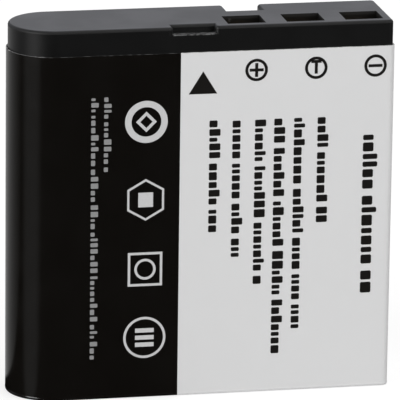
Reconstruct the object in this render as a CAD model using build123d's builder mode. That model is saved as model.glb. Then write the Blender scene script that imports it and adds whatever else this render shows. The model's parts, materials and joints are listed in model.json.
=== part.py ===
import os

from build123d import *

# Camera battery pack, in millimetres. The printed face looks along -Y, the contacts along +Z.
# The origin is the centre of the base that the pack stands on.

os.makedirs("parts", exist_ok=True)

# Outside of the pack
pack_width = 38.5
pack_depth = 9.3
pack_height = 38.0
edge_radius = 0.65  # upright edges of the square side
least_radius = 0.15  # smallest inside corner

# Label film
label_film = 0.15
label_lift = 0.05  # bare strip above the base
label_seam = 0.25  # gap between the two ends of the film
label_seam_margin = 2.5  # seam to the square side
cap_show = 2.55  # cap that stands above the film

# Case
case_wall = 0.45
case_floor = 0.8
base_round = 0.2
round_share = 0.8  # most of an upright edge's radius that a rounding across it may take
joint_cover = 0.4  # film that laps over the joint of case and cap
rib_count = 4
rib_thickness = 0.8
rib_reach = 2.0  # rib alongside the cell's round end
rib_gap = 0.05  # rib to cell

# Terminal cap
cap_gap = 0.05  # cap set in from the case
cap_roof = 1.5
cap_round = 0.3
lip_thickness = 0.4
lip_gap = 0.05  # lip to case wall
lip_clear = 0.25  # lip to cell
window_width = 3.85
window_length = 3.2
window_pitch = 5.97
window_margin = 1.1  # last window to the square side
notch_drop = 0.75
notch_mouth = 0.4  # rounding where a notch opens in the side of the cap
front_notch_width = 4.3
front_notch_length = 1.15
front_notch_margin = 1.35  # front notch to the first window
rear_notch_width = 3.55
rear_notch_length = 2.55
rear_notch_shift = 0.9  # rear notch against the middle of the first window

# Contacts, in order towards the square side
contact_names = ("positive_contact", "sensor_contact", "negative_contact")
contact_thickness = 0.3
contact_gap = 0.2  # contact to window wall
contact_corner = 0.2

# Circuit board
board_thickness = 0.8
board_gap = 0.1  # board to cap wall

# Board parts, hung from its lower face
chip_length = 2.9
chip_width = 1.6
chip_height = 1.1
chip_lead_count = 6
mosfet_length = 3.0
mosfet_width = 3.6
mosfet_height = 1.0
mosfet_lead_count = 8
lead_thickness = 0.12
lead_width = 0.3
lead_foot = 0.3
lead_reach = 0.3  # body to the lead's upright part
package_lift = 0.08  # body to board
passive_length = 1.6
passive_width = 0.8
passive_height = 0.6
passive_end = 0.35
passive_step = 0.03  # plated end stands over the body
part_spacing = 1.2  # free space between neighbours on the board

# Cell
cell_side_space = 1.6  # cell to the case's square side
tab_space = 2.6  # lid to board
can_wall = 0.35
lid_sink = 0.3
can_round = 0.6
plug_radius = 0.6
plug_height = 0.12
plug_margin = 8.8  # fill plug to the cell's end on the round side

# Cell terminal
rivet_length = 4.6
rivet_width = 2.4
rivet_height = 0.35
rivet_shank = 0.8
gasket_height = 0.25
gasket_edge = 0.5  # gasket shown round the rivet
plate_corner = 0.4

# Tabs
tab_thickness = 0.15
tab_width = 2.2
tab_foot = 3.0
tab_flange = 1.8
tab_bend = 0.3
positive_tab_margin = 7.3  # middle of the positive tab's foot to the cell's end on the square side

# Sheets and pads
card_thickness = 0.2
card_gap = 0.1  # card to can rim
card_clear = 0.3  # card to whatever stands in its openings
tape_thickness = 0.1
tape_margin = 3.0  # tape to the edges of the cell's flat face
pad_thickness = 0.3
pad_margin = 1.2  # pad to the outline of the cell

# Levels and insets that follow
label_top = pack_height - cap_show
case_top = label_top - joint_cover
roof_level = pack_height - cap_roof
board_level = roof_level - board_thickness
lid_level = board_level - tab_space
cell_top = lid_level + lid_sink
cell_base = case_floor + pad_thickness
lip_level = cell_top + lip_clear
rivet_level = lid_level + gasket_height + rivet_height
case_inner = label_film + case_wall
cap_face = label_film + cap_gap
lip_face = case_inner + lip_gap
cap_inner = lip_face + lip_thickness
board_edge = cap_inner + board_gap

# Plan positions that follow
cell_thickness = pack_depth - 2 * (case_inner + tape_thickness)
cell_left = case_inner + tape_thickness - pack_width / 2
cell_right = pack_width / 2 - case_inner - cell_side_space
cell_width = cell_right - cell_left
cell_middle = (cell_left + cell_right) / 2
cell_flat = cell_width - cell_thickness
window_front = cap_inner - pack_depth / 2
window_middle = window_front + window_length / 2
last_window = pack_width / 2 - window_margin - window_width / 2
window_places = [last_window - step * window_pitch for step in reversed(range(len(contact_names)))]
front_notch_middle = window_places[0] - (window_width + front_notch_width) / 2 - front_notch_margin
rear_notch_middle = window_places[0] + rear_notch_shift
negative_riser = cell_middle - tab_foot / 2
positive_foot = cell_right - positive_tab_margin
plug_middle = cell_left + plug_margin
chip_middle = negative_riser - tab_flange - part_spacing - chip_length / 2
mosfet_middle = chip_middle - chip_length / 2 - part_spacing - mosfet_length / 2
passive_pitch = passive_length + part_spacing


def corner_at(inset):
    # Radius of the square side's upright edges on an outline drawn in by inset.
    return max(edge_radius - inset, least_radius)


def pack_outline(inset):
    # Outline of the pack drawn in by inset: half round on the left, square on the right.
    radius = pack_depth / 2 - inset
    centre = (pack_depth - pack_width) / 2
    side = pack_width / 2 - inset
    with BuildSketch() as outline:
        with BuildLine():
            Polyline((centre, radius), (side, radius), (side, -radius), (centre, -radius))
            CenterArc((centre, 0), radius, 90, 180)
        make_face()
        fillet(outline.vertices().group_by(Axis.X)[-1], corner_at(inset))
    return outline.sketch


def cell_outline(inset):
    # Outline of the cell drawn in by inset, both ends half round.
    with BuildSketch() as outline:
        with Locations((cell_middle, 0)):
            SlotOverall(cell_width - 2 * inset, cell_thickness - 2 * inset)
    return outline.sketch


def notch_outline(width, length):
    # Key notch that runs in along +Y from its mouth on the X axis, with the corners of the mouth rounded.
    with BuildSketch() as outline:
        Rectangle(width, length, align=(Align.CENTER, Align.MIN))
        Rectangle(width + 4 * notch_mouth, length, align=(Align.CENTER, Align.MAX))
        fillet(outline.vertices().group_by(Axis.Y)[1].sort_by(Axis.X)[1:-1], notch_mouth)
    return outline.sketch


def leaded_chip(middle, length, width, height, lead_count):
    # Moulded chip hung under the board, with a row of bent leads along each long side.
    pairs = lead_count // 2
    places = [middle + (step + 0.5 - pairs / 2) * length / pairs for step in range(pairs)]
    body_level = board_level - package_lift
    exit_level = body_level - height / 2
    foot_level = board_level - lead_thickness / 2
    upright = width / 2 + lead_reach
    with BuildPart() as chip:
        with BuildSketch(Plane.XY.offset(body_level)):
            with Locations((middle, 0)):
                Rectangle(length, width)
        extrude(amount=-height)
        chamfer(chip.faces().sort_by(Axis.Z)[0].edges(), package_lift)
        with BuildSketch(*[Plane.YZ.offset(place - lead_width / 2) for place in places]):
            with BuildLine():
                Polyline(
                    (0, exit_level),
                    (upright, exit_level),
                    (upright, foot_level),
                    (upright + lead_foot, foot_level),
                )
                mirror(about=Plane.YZ)
            trace(line_width=lead_thickness)
        extrude(amount=lead_width)
    return chip.part


def passive_chip(*places):
    # Small ceramic chips hung under the board, each with two plated ends that stand a little over it.
    with BuildPart() as chip:
        with Locations(*[(x, y, board_level) for x, y in places]):
            Box(
                passive_length - 2 * passive_end,
                passive_width - 2 * passive_step,
                passive_height - passive_step,
                align=(Align.CENTER, Align.CENTER, Align.MAX),
            )
        ends = (passive_length - passive_end) / 2
        with Locations(*[(x + end, y, board_level) for x, y in places for end in (-ends, ends)]):
            Box(
                passive_end,
                passive_width,
                passive_height,
                align=(Align.CENTER, Align.CENTER, Align.MAX),
            )
    return chip.part


def bent_tab(start, riser, flange_end, foot_level):
    # Nickel strip: a foot on the cell, an upright riser and a flange under the board.
    low = foot_level + tab_thickness / 2
    high = board_level - tab_thickness / 2
    with BuildPart() as tab:
        with BuildSketch(Plane.XZ):
            with BuildLine():
                FilletPolyline(
                    (start, low),
                    (riser, low),
                    (riser, high),
                    (flange_end, high),
                    radius=tab_bend,
                )
            trace(line_width=tab_thickness)
        extrude(amount=tab_width / 2, both=True)
    return tab.part


# Label: film wrapped once round case and cap joint, its ends meeting on the rear face
with BuildPart() as label_wrap:
    with BuildSketch(Plane.XY.offset(label_lift)):
        add(pack_outline(0))
        add(pack_outline(label_film), mode=Mode.SUBTRACT)
        with Locations((pack_width / 2 - label_seam_margin, pack_depth / 2)):
            Rectangle(label_seam, pack_depth, mode=Mode.SUBTRACT)
    extrude(amount=label_top - label_lift)
label_wrap.part.label = "label_wrap"

# Case: open tub with ribs on its square side, hollowed to the cell's round side
with BuildPart() as case:
    with BuildSketch():
        add(pack_outline(label_film))
    extrude(amount=case_top)
    fillet(case.faces().sort_by(Axis.Z)[0].edges(), min(base_round, corner_at(label_film) * round_share))
    with BuildSketch(Plane.XY.offset(case_floor)):
        add(pack_outline(case_inner))
    extrude(amount=case_top - case_floor, mode=Mode.SUBTRACT)
    rib_spacing = (lip_level - cell_base) / rib_count
    rib_levels = [cell_base + (step + 0.5) * rib_spacing - rib_thickness / 2 for step in range(rib_count)]
    with BuildSketch(*[Plane.XY.offset(level) for level in rib_levels]):
        add(pack_outline(label_film + case_wall / 2))
        with Locations((cell_right - rib_reach, 0)):
            Rectangle(pack_width, pack_depth, align=(Align.MIN, Align.CENTER), mode=Mode.INTERSECT)
        add(cell_outline(-rib_gap), mode=Mode.SUBTRACT)
    extrude(amount=rib_thickness)
case.part.label = "case"

# Terminal cap: roof with contact windows and key notches, skirt, and a lip that enters the case
with BuildPart() as terminal_cap:
    with BuildSketch(Plane.XY.offset(case_top)):
        add(pack_outline(cap_face))
    extrude(amount=pack_height - case_top)
    with BuildSketch(Plane.XY.offset(lip_level)):
        add(pack_outline(lip_face))
    extrude(amount=case_top - lip_level)
    with BuildSketch(Plane.XY.offset(lip_level)):
        add(pack_outline(cap_inner))
    extrude(amount=roof_level - lip_level, mode=Mode.SUBTRACT)
    with BuildSketch(Plane.XY.offset(roof_level)):
        with Locations(*[(place, window_middle) for place in window_places]):
            Rectangle(window_width, window_length)
    extrude(amount=cap_roof, mode=Mode.SUBTRACT)
    with BuildSketch(Plane.XY.offset(pack_height - notch_drop)):
        with Locations((front_notch_middle, cap_face - pack_depth / 2)):
            add(notch_outline(front_notch_width, front_notch_length))
        with Locations(Pos(rear_notch_middle, pack_depth / 2 - cap_face) * Rot(Z=180)):
            add(notch_outline(rear_notch_width, rear_notch_length))
    extrude(amount=notch_drop, mode=Mode.SUBTRACT)
    top_round = min(cap_round, round_share * min(corner_at(cap_face), notch_mouth))
    fillet(terminal_cap.faces().sort_by(Axis.Z)[-1].outer_wire().edges(), top_round)
terminal_cap.part.label = "terminal_cap"

# Contacts: one plated pad on the board under each window
contacts = []
for name, place in zip(contact_names, window_places):
    with BuildPart() as contact:
        with BuildSketch(Plane.XY.offset(roof_level)):
            with Locations((place, window_middle)):
                RectangleRounded(
                    window_width - 2 * contact_gap,
                    window_length - 2 * contact_gap,
                    contact_corner,
                )
        extrude(amount=contact_thickness)
    contact.part.label = name
    contacts.append(contact.part)

# Circuit board, against the roof of the cap
with BuildPart() as circuit_board:
    with BuildSketch(Plane.XY.offset(board_level)):
        add(pack_outline(board_edge))
    extrude(amount=board_thickness)
circuit_board.part.label = "circuit_board"

# Parts on the lower face of the board
protection_chip = leaded_chip(chip_middle, chip_length, chip_width, chip_height, chip_lead_count)
protection_chip.label = "protection_chip"
mosfet_pair = leaded_chip(mosfet_middle, mosfet_length, mosfet_width, mosfet_height, mosfet_lead_count)
mosfet_pair.label = "mosfet_pair"
thermistor = passive_chip((cell_middle, 0))
thermistor.label = "thermistor"
chip_capacitor = passive_chip((cell_middle + passive_pitch, 0))
chip_capacitor.label = "chip_capacitor"
chip_resistors = passive_chip(
    (cell_middle + 2 * passive_pitch, -passive_width),
    (cell_middle + 2 * passive_pitch, passive_width),
)
chip_resistors.label = "chip_resistors"

# Cell: drawn can with a sunk lid and a welded fill plug
with BuildPart() as cell:
    with BuildSketch(Plane.XY.offset(cell_base)):
        add(cell_outline(0))
    extrude(amount=cell_top - cell_base)
    fillet(cell.faces().sort_by(Axis.Z)[0].edges(), can_round)
    with BuildSketch(Plane.XY.offset(lid_level)):
        add(cell_outline(can_wall))
    extrude(amount=lid_sink, mode=Mode.SUBTRACT)
    with BuildSketch(Plane.XY.offset(lid_level)):
        with Locations((plug_middle, 0)):
            Circle(plug_radius)
    extrude(amount=plug_height)
cell.part.label = "cell"

# Insulated negative terminal in the middle of the lid
with BuildPart() as cell_gasket:
    with BuildSketch(Plane.XY.offset(lid_level)):
        with Locations((cell_middle, 0)):
            RectangleRounded(rivet_length + 2 * gasket_edge, rivet_width + 2 * gasket_edge, plate_corner)
            Circle(rivet_shank, mode=Mode.SUBTRACT)
    extrude(amount=gasket_height)
cell_gasket.part.label = "cell_gasket"

with BuildPart() as cell_rivet:
    with BuildSketch(Plane.XY.offset(lid_level)):
        with Locations((cell_middle, 0)):
            Circle(rivet_shank)
    extrude(amount=gasket_height)
    with BuildSketch(Plane.XY.offset(lid_level + gasket_height)):
        with Locations((cell_middle, 0)):
            RectangleRounded(rivet_length, rivet_width, plate_corner)
    extrude(amount=rivet_height)
cell_rivet.part.label = "cell_rivet"

# Tabs: the negative one stands on the rivet, the positive one on the lid
negative_tab = bent_tab(
    cell_middle + tab_foot / 2,
    negative_riser,
    negative_riser - tab_flange,
    rivet_level,
)
negative_tab.label = "negative_tab"
positive_tab = bent_tab(
    positive_foot - tab_foot / 2,
    positive_foot + tab_foot / 2,
    positive_foot + tab_foot / 2 + tab_flange,
    lid_level,
)
positive_tab.label = "positive_tab"

# Card on the lid, open round the terminal, the positive tab and the fill plug
with BuildPart() as lid_insulator:
    with BuildSketch(Plane.XY.offset(lid_level)):
        add(cell_outline(can_wall + card_gap))
        with Locations((cell_middle, 0)):
            Rectangle(
                rivet_length + 2 * (gasket_edge + card_clear),
                rivet_width + 2 * (gasket_edge + card_clear),
                mode=Mode.SUBTRACT,
            )
        with Locations((positive_foot, 0)):
            Rectangle(tab_foot + 2 * card_clear, tab_width + 2 * card_clear, mode=Mode.SUBTRACT)
        with Locations((plug_middle, 0)):
            Circle(plug_radius + card_clear, mode=Mode.SUBTRACT)
    extrude(amount=card_thickness)
lid_insulator.part.label = "lid_insulator"

# Foam pad under the cell
with BuildPart() as base_pad:
    with BuildSketch(Plane.XY.offset(case_floor)):
        add(cell_outline(pad_margin))
    extrude(amount=pad_thickness)
base_pad.part.label = "base_pad"

# Adhesive sheets between the cell's flat faces and the case
tapes = []
for name, side in (("front_tape", -1), ("rear_tape", 1)):
    with BuildPart() as tape:
        with Locations((cell_middle, side * (cell_thickness + tape_thickness) / 2, (cell_base + cell_top) / 2)):
            Box(cell_flat - 2 * tape_margin, tape_thickness, cell_top - cell_base - 2 * tape_margin)
    tape.part.label = name
    tapes.append(tape.part)

pieces = [
    label_wrap.part,
    case.part,
    terminal_cap.part,
    *contacts,
    circuit_board.part,
    protection_chip,
    mosfet_pair,
    thermistor,
    chip_capacitor,
    chip_resistors,
    positive_tab,
    negative_tab,
    lid_insulator.part,
    cell.part,
    cell_gasket.part,
    cell_rivet.part,
    base_pad.part,
    *tapes,
]
for piece in pieces:
    export_step(piece, f"parts/{piece.label}.step")
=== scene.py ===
import json
import math
import random

import bmesh
import bpy
from mathutils import Matrix, Vector


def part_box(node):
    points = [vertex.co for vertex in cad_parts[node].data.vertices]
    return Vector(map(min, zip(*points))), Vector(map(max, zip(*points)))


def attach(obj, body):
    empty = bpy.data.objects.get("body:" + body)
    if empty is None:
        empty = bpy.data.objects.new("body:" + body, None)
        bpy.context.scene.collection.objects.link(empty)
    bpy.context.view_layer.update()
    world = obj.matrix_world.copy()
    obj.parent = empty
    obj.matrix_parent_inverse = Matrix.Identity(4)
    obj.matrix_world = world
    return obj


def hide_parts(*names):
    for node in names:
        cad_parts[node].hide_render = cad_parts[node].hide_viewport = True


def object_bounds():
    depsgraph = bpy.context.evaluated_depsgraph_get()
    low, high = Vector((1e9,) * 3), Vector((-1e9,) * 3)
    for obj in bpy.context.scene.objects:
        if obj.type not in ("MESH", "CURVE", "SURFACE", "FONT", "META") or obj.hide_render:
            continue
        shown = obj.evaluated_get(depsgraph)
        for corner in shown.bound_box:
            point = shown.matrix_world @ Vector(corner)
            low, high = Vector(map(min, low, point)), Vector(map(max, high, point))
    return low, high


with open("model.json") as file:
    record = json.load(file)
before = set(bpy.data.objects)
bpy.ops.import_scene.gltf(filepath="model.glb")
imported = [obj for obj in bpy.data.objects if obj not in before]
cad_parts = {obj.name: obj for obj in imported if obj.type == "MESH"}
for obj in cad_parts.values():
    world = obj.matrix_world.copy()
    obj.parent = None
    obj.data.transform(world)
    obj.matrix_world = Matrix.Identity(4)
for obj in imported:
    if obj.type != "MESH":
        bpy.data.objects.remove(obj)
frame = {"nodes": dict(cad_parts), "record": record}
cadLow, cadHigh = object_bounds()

mm = 0.001
micron = 0.000001
middle = Vector((0, 0, (cadLow.z + cadHigh.z) / 2))  # of the pack: the lamps and the camera face it
noiseBands = {"narrow": (0.35, 0.65), "usual": (0.3, 0.7), "wide": (0.25, 0.75)}  # of noise values


class Wire:  # one output socket, so that shader maths reads as Python
    def __init__(self, finish, socket):
        self.finish = finish
        self.socket = socket

    def maths(self, operation, first, second):
        return self.finish.node("ShaderNodeMath", {"operation": operation}, {0: first, 1: second})

    def __add__(self, other):
        return self.maths("ADD", self, other)

    def __radd__(self, other):
        return self.maths("ADD", other, self)

    def __sub__(self, other):
        return self.maths("SUBTRACT", self, other)

    def __rsub__(self, other):
        return self.maths("SUBTRACT", other, self)

    def __mul__(self, other):
        return self.maths("MULTIPLY", self, other)

    def __rmul__(self, other):
        return self.maths("MULTIPLY", other, self)

    def __truediv__(self, other):
        return self.maths("DIVIDE", self, other)

    def __rtruediv__(self, other):
        return self.maths("DIVIDE", other, self)

    def pick(self, name):  # another output of the same node
        return Wire(self.finish, self.socket.node.outputs[name])


class Finish:  # a node tree and the few moves that the finishes share
    def __init__(self, owner):
        owner.use_nodes = True
        self.owner = owner
        self.tree = owner.node_tree

    def node(self, kind, settings=None, sockets=None, out=0):
        made = self.tree.nodes.new(kind)
        for key, value in (settings or {}).items():
            setattr(made, key, value)
        for key, value in (sockets or {}).items():
            if isinstance(value, Wire):
                self.tree.links.new(value.socket, made.inputs[key])
            else:
                made.inputs[key].default_value = value
        return Wire(self, made.outputs[out]) if len(made.outputs) else made

    def place(self):  # metres in the pack's own frame
        return self.node("ShaderNodeTexCoord").pick("Object")

    def axis(self, letter):  # metres along one axis of the pack
        return self.node("ShaderNodeSeparateXYZ", None, {0: self.place()}).pick(letter)

    def stretch(self, x, y, z):
        return self.node("ShaderNodeVectorMath", {"operation": "MULTIPLY"}, {0: self.place(), 1: (x, y, z)})

    def noise(self, perMm, detail, at=None):
        return self.node("ShaderNodeTexNoise", None, {
            "Vector": at or self.place(), "Scale": perMm / mm, "Detail": detail})

    def ramp(self, value, low, high, start=0.0, end=1.0):
        return self.node("ShaderNodeMapRange", {"interpolation_type": "SMOOTHSTEP", "clamp": True}, {
            0: value, 1: low, 2: high, 3: start, 4: end})

    def vary(self, noise, ends, band="usual"):  # from one end to the other as the noise crosses its band
        return self.ramp(noise, *noiseBands[band], *ends)

    def within(self, value, low, high, soft):  # 1 between low and high
        return self.ramp(value, low - soft, low + soft) * self.ramp(value, high - soft, high + soft, 1.0, 0.0)

    def blendColour(self, factor, first, second):  # 6, 7 and 2 are a Mix node's colour sockets
        return self.node("ShaderNodeMix", {"data_type": "RGBA"}, {
            0: factor, 6: colour(first), 7: colour(second)}, out=2)

    def bump(self, height, microns):
        return self.node("ShaderNodeBump", None, {
            "Strength": 1.0, "Distance": microns * micron, "Height": height})


def colour(value):
    if isinstance(value, Wire):
        return value
    red, green, blue = value if isinstance(value, tuple) else (value, value, value)
    return (red, green, blue, 1.0)


def surface(name, steady, varying):
    # steady numbers sit on the shader's own sockets, varying ones are wires made by the given function
    finish = Finish(bpy.data.materials.new(name))
    shader = finish.tree.nodes["Principled BSDF"]
    for key, value in steady.items():
        shader.inputs[key].default_value = value
    for key, value in varying(finish).items():
        finish.tree.links.new(value.socket, shader.inputs[key])
    return finish.owner


# printed film; in every finish, noise is (cells per mm, detail) and tones are (dark, light)
filmLook = {
    "black": {
        "tone": (0.0049, 0.0042, 0.0035), "shares": (0.85, 1.15), "cloud": (0.35, 2.0),
        "gloss": (0.15, 0.2), "band": "narrow"},
    "pale": {
        "tone": (0.672, 0.672, 0.674), "shares": (0.99, 1.0), "cloud": (0.5, 2.0),
        "gloss": (0.31, 0.39), "band": "usual"},
    "steady": {"IOR": 1.5}, "peel": (3.2, 1.0), "peelMicrons": 0.9,  # slightly wavy, as wrapped film is
}


def printedFilm(field):
    look = filmLook[field]

    def varying(finish):
        cloud = finish.noise(*look["cloud"])
        dark, light = (tuple(part * share for part in look["tone"]) for share in look["shares"])
        return {
            "Base Color": finish.blendColour(cloud, dark, light),
            "Roughness": finish.vary(cloud, look["gloss"], look["band"]),
            "Normal": finish.bump(finish.noise(*filmLook["peel"]), filmLook["peelMicrons"]),
        }
    return varying


# cut edges of the film, paler along the round side: a painted highlight where the side light falls on them
edgeLook = {
    "black": {"tones": (0.011, 0.07), "paledAndSheen": (0.12, 0.38)}, "pale": {"tones": (0.45, 0.62)},
    "sheenFadesTo": (-17.4, -15.4),  # along X, the painted highlight fading from the first to the second
    "ragged": (1.3, 3.0), "raggedBand": (0.48, 0.55), "grain": (14.0, 2.0), "grainMicrons": 6.0,
    "steady": {"Roughness": 0.6, "Specular IOR Level": 0.1},
}


def cutEdge(field):
    look = edgeLook[field]

    def varying(finish):
        ragged = finish.ramp(finish.noise(*edgeLook["ragged"]), *edgeLook["raggedBand"])
        tone = finish.blendColour(ragged, *look["tones"])
        # the round side's paler tone is a painted highlight where the side light falls
        if "paledAndSheen" in look:
            full, gone = (level * mm for level in edgeLook["sheenFadesTo"])
            onRound = finish.ramp(finish.axis("X"), full, gone, 1.0, 0.0)
            tone = finish.blendColour(onRound, tone, finish.blendColour(ragged, *look["paledAndSheen"]))
        grain = finish.noise(*edgeLook["grain"])
        return {"Base Color": tone, "Normal": finish.bump(grain, edgeLook["grainMicrons"])}
    return varying


# ink
inkLook = {
    "dark": ((0.0062, 0.0052, 0.0044), (0.0095, 0.0080, 0.0068)), "pale": (0.5, 0.6), "side": (0.22, 0.29),
    "grain": (6.0, 3.0), "gloss": (0.28, 0.4),
}


def ink(tones):
    def varying(finish):
        grain = finish.noise(*inkLook["grain"])
        return {
            "Base Color": finish.blendColour(grain, *tones),
            "Roughness": finish.vary(grain, inkLook["gloss"]),
        }
    return varying


blackFilmFinish = surface("black_film", filmLook["steady"], printedFilm("black"))
paleFilmFinish = surface("pale_film", filmLook["steady"], printedFilm("pale"))
blackEdgeFinish = surface("black_film_edge", edgeLook["steady"], cutEdge("black"))
paleEdgeFinish = surface("pale_film_edge", edgeLook["steady"], cutEdge("pale"))
darkInkFinish = surface("dark_ink", {}, ink(inkLook["dark"]))
paleInkFinish = surface("pale_ink", {}, ink(inkLook["pale"]))
sideInkFinish = surface("side_ink", {}, ink(inkLook["side"]))
print("film finishes made")


# cap
capLook = {
    "black": 0.0036, "wornAndSheen": 0.16, "steady": {"IOR": 1.52}, "cloud": (0.22, 3.0), "gloss": (0.35, 0.39),
    "grain": (11.0, 2.0), "grainMicrons": 2.2,
    "rim": (0.3, 0.03), "rimSoft": 0.02, "rimDull": 0.22,  # rounded top edge, duller than the flats
    "wearAndSheen": (3.4, 4.0), "wearAndSheenBand": (0.36, 0.62), "wearAndSheenSoft": 0.05,
    # paler boxes: wear on the notch floor and in a window, and a painted highlight at the notch's mouth
    "paledAndSheen": (  # share, and box along X, Y and Z
        (1.0, {"X": (-3.3, 1.05), "Y": (-4.6, -3.75), "Z": (37.17, 37.34)}),  # front notch's floor
        (0.28, {"X": (0.91, 1.15), "Y": (-4.6, -4.15), "Z": (37.25, 37.8)}),  # its mouth: a painted highlight on its rounded edge
        (0.9, {"X": (3.08, 3.3), "Y": (-0.6, -0.2), "Z": (37.42, 37.74)})),  # a scuff in the first window
}


def capPlastic(finish):
    soft = capLook["wearAndSheenSoft"] * mm
    # the paler tone is wear, and at the notch's mouth a painted highlight
    paledAndSheen = 0.0
    for inside, box in capLook["paledAndSheen"]:
        for letter, (low, high) in box.items():
            inside = inside * finish.within(finish.axis(letter), low * mm, high * mm, soft)
        paledAndSheen = paledAndSheen + inside
    wornAndSheen = finish.ramp(finish.noise(*capLook["wearAndSheen"]), *capLook["wearAndSheenBand"]) * paledAndSheen
    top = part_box("terminal_cap")[1].z
    rimLow, rimHigh = (top - depth * mm for depth in capLook["rim"])
    rim = finish.within(finish.axis("Z"), rimLow, rimHigh, capLook["rimSoft"] * mm)
    gloss = finish.vary(finish.noise(*capLook["cloud"]), capLook["gloss"], "narrow")
    return {
        "Base Color": finish.blendColour(wornAndSheen, capLook["black"], capLook["wornAndSheen"]),
        "Roughness": gloss + rim * capLook["rimDull"],
        "Normal": finish.bump(finish.noise(*capLook["grain"]), capLook["grainMicrons"]),
    }


# other moulded pieces: mottled tone, fine grain, and gloss that drifts where it isn't steady
mouldedLooks = {
    "case_plastic": {
        "steady": {"IOR": 1.52}, "tones": (0.008, 0.013), "mottle": (0.3, 3.0),
        "gloss": (0.44, 0.56), "drift": (0.3, 3.0), "grain": (7.0, 3.0), "grainMicrons": 3.5},
    "chip_resin": {
        "steady": {}, "tones": (0.012, 0.02), "mottle": (1.5, 2.0),
        "gloss": (0.5, 0.62), "drift": (3.0, 2.0), "grain": (16.0, 3.0), "grainMicrons": 2.5},
    "gasket_resin": {
        "steady": {"Roughness": 0.45}, "tones": ((0.66, 0.66, 0.6), (0.74, 0.74, 0.69)),
        "mottle": (0.9, 2.0), "grain": (9.0, 2.0), "grainMicrons": 2.0},
    "chip_ceramic": {
        "steady": {"Roughness": 0.5}, "tones": ((0.26, 0.19, 0.13), (0.42, 0.33, 0.25)),
        "mottle": (2.2, 3.0), "grain": (18.0, 2.0), "grainMicrons": 1.5},
}


def moulded(look):
    def varying(finish):
        wires = {
            "Base Color": finish.blendColour(finish.noise(*look["mottle"]), *look["tones"]),
            "Normal": finish.bump(finish.noise(*look["grain"]), look["grainMicrons"]),
        }
        if "gloss" in look:
            wires["Roughness"] = finish.vary(finish.noise(*look["drift"]), look["gloss"])
        return wires
    return varying


# metals, streaked the way they were drawn or rolled
streakLook = {
    "steady": {"Metallic": 1.0}, "streak": (1.0, 3.0), "darkShares": (0.86, 0.85, 0.83), "microns": 1.2}
metalLooks = {
    "contact_plate": {"tone": (0.86, 0.6, 0.27), "stretch": (7.0, 0.8, 0.8), "gloss": (0.29, 0.4)},
    "tab_nickel": {"tone": (0.6, 0.58, 0.54), "stretch": (0.6, 9.0, 0.6), "gloss": (0.29, 0.42)},
    "cell_can": {"tone": (0.7, 0.7, 0.71), "stretch": (6.0, 6.0, 0.3), "gloss": (0.3, 0.46)},
}


def drawnMetal(look):
    def varying(finish):
        streak = finish.noise(*streakLook["streak"], finish.stretch(*look["stretch"]))
        dark = tuple(part * share for part, share in zip(look["tone"], streakLook["darkShares"]))
        return {
            "Base Color": finish.blendColour(streak, dark, look["tone"]),
            "Roughness": finish.vary(streak, look["gloss"], "wide"),
            "Normal": finish.bump(streak, streakLook["microns"]),
        }
    return varying


# card and tape
fibreLooks = {
    "insulator_card": {
        "steady": {"Roughness": 0.85}, "tones": ((0.43, 0.36, 0.24), (0.62, 0.54, 0.39)),
        "fibre": (4.0, 4.0), "stretch": (0.3, 1.0, 1.0), "microns": 9.0},
    "tape_sheet": {
        "steady": {"Roughness": 0.8}, "tones": ((0.7, 0.69, 0.64), (0.84, 0.83, 0.79)),
        "fibre": (3.0, 4.0), "stretch": (1.0, 1.0, 0.4), "microns": 6.0},
}


def fibrous(look):
    def varying(finish):
        fibre = finish.noise(*look["fibre"], finish.stretch(*look["stretch"]))
        return {
            "Base Color": finish.blendColour(fibre, *look["tones"]),
            "Normal": finish.bump(fibre, look["microns"]),
        }
    return varying


# circuit board
boardLook = {
    "tones": ((0.012, 0.1, 0.04), (0.03, 0.2, 0.08)), "weave": 2.4, "weaveShare": 0.25, "weaveMicrons": 1.5,
    "mottle": (2.0, 2.0), "mottleShare": 0.5, "gloss": (0.29, 0.38), "drift": (2.5, 2.0),
}


def boardLaminate(finish):
    weave = finish.node("ShaderNodeTexChecker", None, {
        "Vector": finish.place(), "Scale": boardLook["weave"] / mm}).pick("Fac")
    mottle = finish.noise(*boardLook["mottle"])
    blend = weave * boardLook["weaveShare"] + mottle * boardLook["mottleShare"]
    return {
        "Base Color": finish.blendColour(blend, *boardLook["tones"]),
        "Roughness": finish.vary(finish.noise(*boardLook["drift"]), boardLook["gloss"]),
        "Normal": finish.bump(weave, boardLook["weaveMicrons"]),
    }


# foam pad
foamLook = {"tones": (0.014, 0.035), "cells": 5.0, "microns": 30.0, "steady": {"Roughness": 0.9}}


def padFoam(finish):
    cells = finish.node("ShaderNodeTexVoronoi", None, {
        "Vector": finish.place(), "Scale": foamLook["cells"] / mm})
    return {
        "Base Color": finish.blendColour(cells, *foamLook["tones"]),
        "Normal": finish.bump(cells, foamLook["microns"]),
    }


def dressNodes():  # each CAD node takes the finish that its slot in the record names
    finishes = {
        "cap_plastic": surface("cap_plastic", capLook["steady"], capPlastic),
        "board_laminate": surface("board_laminate", {}, boardLaminate),
        "pad_foam": surface("pad_foam", foamLook["steady"], padFoam),
    }
    for name, look in mouldedLooks.items():
        finishes[name] = surface(name, look["steady"], moulded(look))
    for name, look in metalLooks.items():
        finishes[name] = surface(name, streakLook["steady"], drawnMetal(look))
    for name, look in fibreLooks.items():
        finishes[name] = surface(name, look["steady"], fibrous(look))
    dressed = [part for part in frame["record"]["subparts"] if part["material_slot"] in finishes]
    for part in dressed:
        slots = frame["nodes"][part["node"]].data.materials
        slots.clear()
        slots.append(finishes[part["material_slot"]])
    print("CAD nodes dressed:", len(dressed))


dressNodes()


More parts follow.
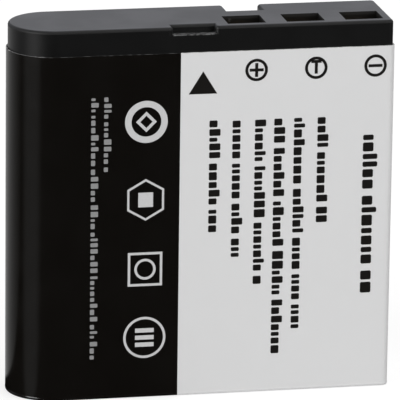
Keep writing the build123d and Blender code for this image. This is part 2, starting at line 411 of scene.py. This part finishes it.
# label film: one strip round the pack, dark and pale fields cut where the print changes
label = {
    "inkHeight": 0.02, "inkDepth": 0.026,  # the ink stands out from the film, and sinks a little into it
    "film": 0.15, "corner": 0.65, "cornerSteps": 10, "roundSteps": 96, "flatStep": 0.5,
    "fieldEdge": -2.54, "seamMargin": 2.5, "seam": 0.25, "bevel": 0.03, "ragged": 0.012, "seed": 4,
    "hem": (0.12, 0.24), "hemSteps": 8, "flare": 0.07,  # the lower edge, rolled out a little and then under
    "sharp": 12,  # degrees, small enough to keep the flare apart from the flat
}
labelLow, labelHigh = (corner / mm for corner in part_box("label_wrap"))
halfDepth, side = labelHigh.y, labelHigh.x


def straight(start, end, level, normal, field):  # points along a flat face, the far end left to what follows
    count = max(1, round(abs(end - start) / label["flatStep"]))
    return [((start + (end - start) * step / count, level), normal, field) for step in range(count)]


def arc(centre, radius, start, end, steps, field):
    points = []
    for step in range(steps + 1):
        angle = math.radians(start + (end - start) * step / steps)
        normal = (math.cos(angle), math.sin(angle))
        points.append(((centre[0] + radius * normal[0], centre[1] + radius * normal[1]), normal, field))
    return points


def labelPath():
    # (point, outward normal, field) from the seam round the square side and the front, back to the seam
    corner, steps, fieldEdge = label["corner"], label["cornerSteps"], label["fieldEdge"]
    seamAt, halfSeam = side - label["seamMargin"], label["seam"] / 2
    inner, roundAt = side - corner, halfDepth - side
    path = straight(seamAt + halfSeam, inner, halfDepth, (0, 1), "pale")
    path += arc((inner, halfDepth - corner), corner, 90, 0, steps, "pale")
    path += arc((inner, corner - halfDepth), corner, 0, -90, steps, "pale")
    path += straight(inner, fieldEdge, -halfDepth, (0, -1), "pale")[1:]
    path += straight(fieldEdge, roundAt, -halfDepth, (0, -1), "black")
    path += arc((roundAt, 0), halfDepth, 270, 90, label["roundSteps"], "black")
    path += straight(roundAt, seamAt - halfSeam, halfDepth, (0, 1), "black")[1:]
    return path + [((seamAt - halfSeam, halfDepth), (0, 1), "black")]


def meshPiece(name, work, finishes):
    mesh = bpy.data.meshes.new(name)
    work.to_mesh(mesh)
    work.free()
    for finish in finishes:
        mesh.materials.append(finish)
    piece = bpy.data.objects.new(name, mesh)
    bpy.context.scene.collection.objects.link(piece)
    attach(piece, "root")
    return piece


def labelSection(low, high):  # (inset, level) up the outside and down the inside
    bevel, skin, film = label["bevel"], label["inkHeight"], label["film"]
    hemIn, hemRise = label["hem"]
    section = [(film, low)]
    for step in range(label["hemSteps"] + 1):
        turn = math.pi / 2 * (1 - step / label["hemSteps"])
        section.append((hemIn * (1 - math.cos(turn)), low + hemRise * (1 - math.sin(turn))))
    flareTop = low + hemRise + label["flare"]
    return section + [(skin, flareTop), (skin, high - bevel), (skin + bevel, high), (film, high)]


def makeLabel():
    faceFinish, edgeFinish = {"pale": 0, "black": 1}, {"pale": 2, "black": 3}
    section = labelSection(labelLow.z, labelHigh.z)
    filmFaces = range(1, len(section) - 3)  # the rest are cut edges and the inside
    raggedFrom = labelHigh.z - label["film"]
    dice = random.Random(label["seed"])
    work = bmesh.new()
    rings = []
    for (x, y), (outX, outY), field in labelPath():
        ragged = label["ragged"] * (dice.random() * 2 - 1)
        ring = []
        for inset, level in section:
            lift = ragged if level > raggedFrom else 0
            place = (x - inset * outX, y - inset * outY, level + lift)
            ring.append(work.verts.new([part * mm for part in place]))
        rings.append((ring, field))
    for (here, field), (there, _) in zip(rings, rings[1:]):
        for step in range(len(section)):
            after = (step + 1) % len(section)
            face = work.faces.new((here[step], there[step], there[after], here[after]))
            face.material_index = (faceFinish if step in filmFaces else edgeFinish)[field]
            face.smooth = True
    for ring, field in (rings[0], rings[-1]):
        work.faces.new(ring).material_index = edgeFinish[field]
    bmesh.ops.recalc_face_normals(work, faces=work.faces)
    piece = meshPiece("label_film", work, (paleFilmFinish, blackFilmFinish, paleEdgeFinish, blackEdgeFinish))
    piece.data.set_sharp_from_angle(angle=math.radians(label["sharp"]))
    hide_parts("label_wrap")


makeLabel()
print("label film made")


# print on the front face: flat shapes as thick as the ink, their corners listed anticlockwise
def printPiece(name, shapes, finish):
    corners = dict.fromkeys(point for shape in shapes for point in shape)  # each one once
    edges = [edge for shape in shapes for edge in zip(shape, shape[1:] + shape[:1])]
    known = set(edges)
    work = bmesh.new()
    front, back = (
        {(x, z): work.verts.new((x * mm, y * mm, z * mm)) for x, z in corners}
        for y in (-halfDepth, label["inkDepth"] - halfDepth))
    for shape in shapes:
        work.faces.new([front[point] for point in shape])
        work.faces.new([back[point] for point in reversed(shape)])
    for start, end in edges:
        if (end, start) not in known:  # no wall where two shapes join
            work.faces.new((front[end], front[start], back[start], back[end]))
    meshPiece(name, work, (finish,))


def ringShapes(x, z, sides, outer, stroke, turn=0):  # closed band of any number of sides
    def corner(radius, step):
        angle = math.radians(turn) + 2 * math.pi * (step % sides) / sides
        return (x + radius * math.cos(angle), z + radius * math.sin(angle))
    inner = outer - stroke
    return [
        [corner(outer, step), corner(outer, step + 1), corner(inner, step + 1), corner(inner, step)]
        for step in range(sides)]


def placed(x, z, corners):
    return [(x + right, z + up) for right, up in corners]


def barShape(x, z, width, height, cut=0.0):  # rectangle, with its corners cut where asked
    wide, high = width / 2, height / 2
    if not cut:
        return placed(x, z, ((-wide, -high), (wide, -high), (wide, high), (-wide, high)))
    inX, inZ = wide - cut, high - cut
    return placed(x, z, (
        (-inX, -high), (inX, -high), (wide, -inZ), (wide, inZ),
        (inX, high), (-inX, high), (-wide, inZ), (-wide, -inZ)))


def plusShape(x, z, arm, line):
    far, near = arm / 2, line / 2
    return placed(x, z, (
        (-near, -far), (near, -far), (near, -near), (far, -near), (far, near), (near, near),
        (near, far), (-near, far), (-near, near), (-far, near), (-far, -near), (-near, -near)))


def teeShape(x, z, width, height, bar, stem):  # hung from its top edge
    far, near = width / 2, stem / 2
    return placed(x, z, (
        (-far, 0), (-far, -bar), (-near, -bar), (-near, -height),
        (near, -height), (near, -bar), (far, -bar), (far, 0)))


insertMark = {"tip": (-0.29, 33.5), "base": 31.21, "halfWidth": 1.43}
contactMarks = {
    "places": (5.10, 11.15, 17.19), "z": 33.45, "radius": 1.14, "stroke": 0.29, "sides": 64,
    "arm": 1.41, "line": 0.3, "teeTop": 0.8, "tee": (1.04, 1.4, 0.3, 0.3),  # width, height, bar, stem
}


def makeTerminalMarks():
    tipX, tipZ = insertMark["tip"]
    wide, foot = insertMark["halfWidth"], insertMark["base"]
    shapes = [[(tipX - wide, foot), (tipX + wide, foot), (tipX, tipZ)]]
    level, arm, line = contactMarks["z"], contactMarks["arm"], contactMarks["line"]
    for x in contactMarks["places"]:
        shapes += ringShapes(x, level, contactMarks["sides"], contactMarks["radius"], contactMarks["stroke"])
    plus, sensor, minus = contactMarks["places"]
    shapes += [plusShape(plus, level, arm, line), barShape(minus, level, arm, line)]
    shapes += [teeShape(sensor, level + contactMarks["teeTop"], *contactMarks["tee"])]
    printPiece("terminal_marks", shapes, darkInkFinish)


# plain blocks in rows that read downwards: (foot, top, bottom, full height), the rest as shares of the height
ratingBlocks = {
    "rows": (
        (0.41, 28.45, 16.93, 1.12), (2.75, 28.34, 13.42, 1.12), (5.03, 28.35, 11.06, 1.12),
        (6.98, 28.38, 3.27, 1.12), (9.00, 28.38, 6.03, 1.12), (11.40, 28.36, 17.17, 1.12),
        (16.08, 26.36, 8.90, 1.5)),
    "seed": 16, "widths": (0.36, 0.55, 0.62, 0.62, 0.74), "low": 0.72, "tallShare": 0.3,
    "gap": 0.17, "wordGap": 0.5, "word": (3, 8), "cut": 0.07,
}
sideBlocks = ratingBlocks | {
    "rows": ((-10.21, 31.23, 23.37, 0.74), (-11.50, 31.18, 3.86, 0.74)), "seed": 8, "low": 0.56, "gap": 0.28,
}


def blockRows(look):
    dice = random.Random(look["seed"])
    shapes = []
    for foot, top, bottom, full in look["rows"]:
        place, left = top, dice.randint(*look["word"])
        while True:
            width = full * dice.choice(look["widths"])
            if place - width < bottom:
                break
            height = full * (1 if dice.random() < look["tallShare"] else look["low"])
            shapes.append(barShape(foot + height / 2, place - width / 2, height, width, full * look["cut"]))
            left -= 1
            place -= width + full * (look["gap"] if left else look["wordGap"])
            left = left or dice.randint(*look["word"])
    return shapes


plainMarks = {
    "x": -5.96, "levels": (28.58, 20.58, 13.41, 6.30), "radius": 2.15, "stroke": 0.25, "sides": 72,
    "heavy": 0.65, "core": 1.05, "coreStroke": 0.42,  # a small diamond in a heavy ring
    "block": 1.5,  # a block in a hexagon
    "square": 2.47, "squareStroke": 0.35, "eye": 1.08,  # a ring in a square
    "bar": (1.9, 0.44), "barStep": 0.74,  # three bars in a ring
}


def makePlainMarks():
    look = plainMarks
    x, radius, stroke = look["x"], look["radius"], look["stroke"]
    circle, hexagon, square = look["sides"], 6, 4  # sides of the closed bands
    first, second, third, fourth = look["levels"]
    shapes = ringShapes(x, first, circle, radius, look["heavy"])
    shapes += ringShapes(x, first, square, look["core"], look["coreStroke"])
    shapes += ringShapes(x, second, hexagon, radius, stroke, turn=30)
    shapes += [barShape(x, second, look["block"], look["block"])]
    shapes += ringShapes(x, third, square, look["square"], look["squareStroke"], turn=45)
    shapes += ringShapes(x, third, circle, look["eye"], stroke)
    shapes += ringShapes(x, fourth, circle, radius, stroke)
    shapes += [barShape(x, fourth + step * look["barStep"], *look["bar"]) for step in (-1, 0, 1)]
    printPiece("plain_marks", shapes, paleInkFinish)


makeTerminalMarks()
makePlainMarks()
printPiece("rating_blocks", blockRows(ratingBlocks), darkInkFinish)
printPiece("side_blocks", blockRows(sideBlocks), sideInkFinish)
print("print made")


# stage: pale floor that stays white to the camera and keeps the pack's shadow
stage = {
    "size": 6.0, "drop": 0.02, "pale": 0.8, "lift": 0.72, "shade": 0.4, "ambient": 0.35,
    "backFloor": 0.54, "backSpread": (0.05, 1.0), "backEdge": (3.5, 5.5),  # what gloss meets behind the pack
    "backWall": (0.71, 0.72, 0.77), "wallRise": (-0.1, 0.6),
    "sideFloor": 0.185, "sideTurn": 62,  # and beside its round side
    "sideFrom": (-17.0, -3.5), "sideSpread": (0.88, 0.985),
}


def viewSplit(finish, white, glossy, plain):  # white to the camera, the studio to gloss, plain to the rest
    ray = finish.node("ShaderNodeLightPath")
    seen = finish.node("ShaderNodeMath", {"operation": "MAXIMUM"}, {
        0: ray.pick("Is Camera Ray"), 1: ray.pick("Is Transmission Ray")})
    unseen = finish.node("ShaderNodeMixShader", None, {0: ray.pick("Is Glossy Ray"), 1: plain, 2: glossy})
    return finish.node("ShaderNodeMixShader", None, {0: seen, 1: unseen, 2: white})


def floorGlow(finish):  # bright behind the pack, faint towards the round side
    fromX, fromY = (place * mm for place in stage["sideFrom"])
    depth = finish.axis("Y")
    across, toward = finish.axis("X") - fromX, depth - fromY
    reach = finish.node("ShaderNodeMath", {"operation": "SQRT"}, {0: across * across + toward * toward})
    turn = math.radians(stage["sideTurn"])
    facing = (across * -math.sin(turn) + toward * -math.cos(turn)) / reach  # 1 straight towards the side glow
    low, high = stage["backSpread"]
    behind = finish.node("ShaderNodeMapRange", {"clamp": True}, {0: toward / reach, 1: low, 2: high})
    nearBack, farBack = (level * mm for level in stage["backEdge"])
    glow = finish.ramp(depth, nearBack, farBack) * behind * stage["backFloor"]
    return glow + finish.ramp(facing, *stage["sideSpread"]) * stage["sideFloor"]


def makeFloor():
    half = stage["size"] / 2
    corners = [(-half, -half, 0), (half, -half, 0), (half, half, 0), (-half, half, 0)]
    mesh = bpy.data.meshes.new("floor")
    mesh.from_pydata(corners, [], [(0, 1, 2, 3)])
    floor = bpy.data.objects.new("floor", mesh)
    floor.location.z = -stage["drop"] * mm
    bpy.context.scene.collection.objects.link(floor)
    finish = Finish(bpy.data.materials.new("floor"))
    finish.tree.nodes.clear()
    plain = finish.node("ShaderNodeBsdfDiffuse", None, {"Color": colour(stage["pale"])})
    shadow = finish.node("ShaderNodeBsdfDiffuse", None, {"Color": colour(stage["shade"])})
    lifted = finish.node("ShaderNodeEmission", None, {"Color": colour(1.0), "Strength": stage["lift"]})
    white = finish.node("ShaderNodeAddShader", None, {0: shadow, 1: lifted})
    glow = finish.blendColour(floorGlow(finish), 0.0, 1.0)
    glossy = finish.node("ShaderNodeEmission", None, {"Color": glow})
    finish.node("ShaderNodeOutputMaterial", None, {"Surface": viewSplit(finish, white, glossy, plain)})
    mesh.materials.append(finish.owner)


def makeWorld():
    world = bpy.data.worlds.new("studio")
    bpy.context.scene.world = world
    finish = Finish(world)
    finish.tree.nodes.clear()
    direction = finish.node("ShaderNodeTexCoord").pick("Generated")
    toBack = finish.node("ShaderNodeSeparateXYZ", None, {0: direction}).pick("Y")
    wall = finish.blendColour(finish.ramp(toBack, *stage["wallRise"]), 0.0, stage["backWall"])
    plain = finish.node("ShaderNodeBackground", None, {"Color": colour(stage["ambient"])})
    glossy = finish.node("ShaderNodeBackground", None, {"Color": wall})
    white = finish.node("ShaderNodeBackground", None, {"Color": colour(1.0)})
    finish.node("ShaderNodeOutputWorld", None, {"Surface": viewSplit(finish, white, glossy, plain)})


def outward(azimuth, elevation):  # from the pack, in degrees right of its front and up
    turn, rise = math.radians(azimuth), math.radians(elevation)
    return Vector((math.sin(turn) * math.cos(rise), -math.cos(turn) * math.cos(rise), math.sin(rise)))


lamps = {  # azimuth, elevation, distance, size, watts
    "key": (-59, 15, 2.0, 1.0, 22.7),
    "fill": (40, 22, 2.0, 1.4, 15.0),
    "top": (90, 76, 2.0, 1.3, 8.7),
}


def makeLamps():
    for name, (azimuth, elevation, distance, size, watts) in lamps.items():
        lamp = bpy.data.lights.new(name, "AREA")
        lamp.size = size
        lamp.energy = watts
        holder = bpy.data.objects.new(name, lamp)
        direction = outward(azimuth, elevation)
        holder.location = middle + direction * distance
        holder.rotation_euler = direction.to_track_quat("Z", "Y").to_euler()
        bpy.context.scene.collection.objects.link(holder)


# camera fitted to the corners of the pack, with its lens, scale and offset in pixels of a square frame
shot = {
    "azimuth": -11.62, "elevation": 15.58, "roll": 0.74, "pixelLens": 5100.0, "pixelsPerMm": 9.9593,
    "offset": (-4.86, 0.28), "frame": 400, "sensor": 36.0, "clip": (0.01, 10.0),
}


def makeCamera():
    turn, roll = math.radians(shot["azimuth"]), math.radians(shot["roll"])
    back = outward(shot["azimuth"], shot["elevation"])
    flatRight = Vector((math.cos(turn), math.sin(turn), 0))
    flatUp = back.cross(flatRight)
    right = math.cos(roll) * flatRight + math.sin(roll) * flatUp
    up = math.cos(roll) * flatUp - math.sin(roll) * flatRight
    away = shot["pixelLens"] / shot["pixelsPerMm"]
    offX, offY = (part / shot["pixelsPerMm"] for part in shot["offset"])
    camera = bpy.data.cameras.new("camera")
    camera.sensor_width = shot["sensor"]
    camera.lens = shot["pixelLens"] / shot["frame"] * shot["sensor"]
    camera.clip_start, camera.clip_end = shot["clip"]
    holder = bpy.data.objects.new("camera", camera)
    holder.matrix_world = Matrix((right, up, back)).transposed().to_4x4()
    holder.location = middle + (back * away - right * offX + up * offY) * mm
    bpy.context.scene.collection.objects.link(holder)
    bpy.context.scene.camera = holder


makeFloor()
makeWorld()
makeLamps()
makeCamera()
bpy.context.scene.view_settings.view_transform = "Standard"
print("stage, lamps and camera set")
